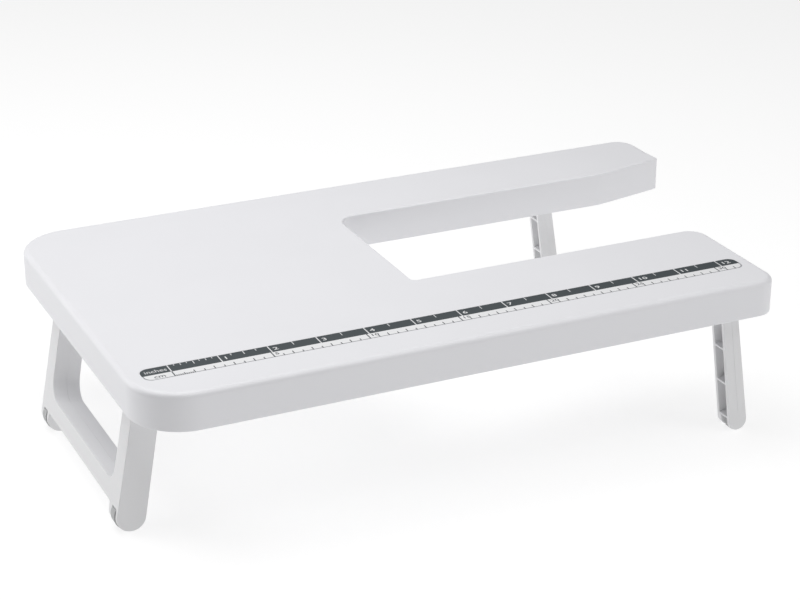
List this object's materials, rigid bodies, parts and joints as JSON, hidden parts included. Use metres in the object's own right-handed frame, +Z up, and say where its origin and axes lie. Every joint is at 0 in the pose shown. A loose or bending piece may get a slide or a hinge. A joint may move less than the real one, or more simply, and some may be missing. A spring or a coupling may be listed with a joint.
{
  "type": "sewing extension table",
  "caption": "Low plastic extension table with a notch for a sewing machine's free arm, a printed measuring scale and folding legs on hinges.",
  "frame": {"origin": "centre of the table's box, on the floor between the feet", "axes": "+X from the closed left end towards the open end of the free-arm notch, +Y from the printed scale towards the rear, +Z up"},
  "size_m": [0.3918, 0.2258, 0.087],
  "materials": {
    "top_plastic": "satin injection-moulded white plastic",
    "label_film": "printed film, dark band with white figures over a white band",
    "leg_plastic": "satin injection-moulded white plastic",
    "pad_rubber": "light grey soft rubber",
    "bracket_plastic": "moulded white plastic",
    "pin_steel": "drawn steel rod",
    "screw_zinc": "zinc-plated steel"
  },
  "bodies": {
    "root": {"tabletop": "top_plastic", "scale_label": "label_film", "hinge_bracket_left_front": "bracket_plastic", "hinge_bracket_left_rear": "bracket_plastic", "hinge_bracket_right_front": "bracket_plastic", "hinge_bracket_right_rear": "bracket_plastic", "hinge_pin_left_front": "pin_steel", "hinge_pin_left_rear": "pin_steel", "hinge_pin_right_front": "pin_steel", "hinge_pin_right_rear": "pin_steel", "hinge_screw_1": "screw_zinc", "hinge_screw_2": "screw_zinc", "hinge_screw_3": "screw_zinc", "hinge_screw_4": "screw_zinc", "hinge_screw_5": "screw_zinc", "hinge_screw_6": "screw_zinc", "hinge_screw_7": "screw_zinc", "hinge_screw_8": "screw_zinc"},
    "left_frame": {"left_leg_frame": "leg_plastic", "foot_pad_left_front": "pad_rubber", "foot_pad_left_rear": "pad_rubber"},
    "right_front": {"right_front_leg": "leg_plastic", "foot_pad_right_front": "pad_rubber"},
    "right_rear": {"right_rear_leg": "leg_plastic", "foot_pad_right_rear": "pad_rubber"}
  },
  "joints": [
    {"name": "left_leg_fold", "type": "hinge", "parent": "root", "child": "left_frame", "pos_m": [-0.17541, -0.00965, 0.0761], "axis": [0, -1, 0], "range_deg": [0, 100]},
    {"name": "right_front_leg_fold", "type": "hinge", "parent": "root", "child": "right_front", "pos_m": [0.12859, -0.102, 0.0761], "axis": [0, 1, 0], "range_deg": [0, 98]},
    {"name": "right_rear_leg_fold", "type": "hinge", "parent": "root", "child": "right_rear", "pos_m": [0.12859, 0.102, 0.0761], "axis": [0, 1, 0], "range_deg": [0, 98]}
  ]
}
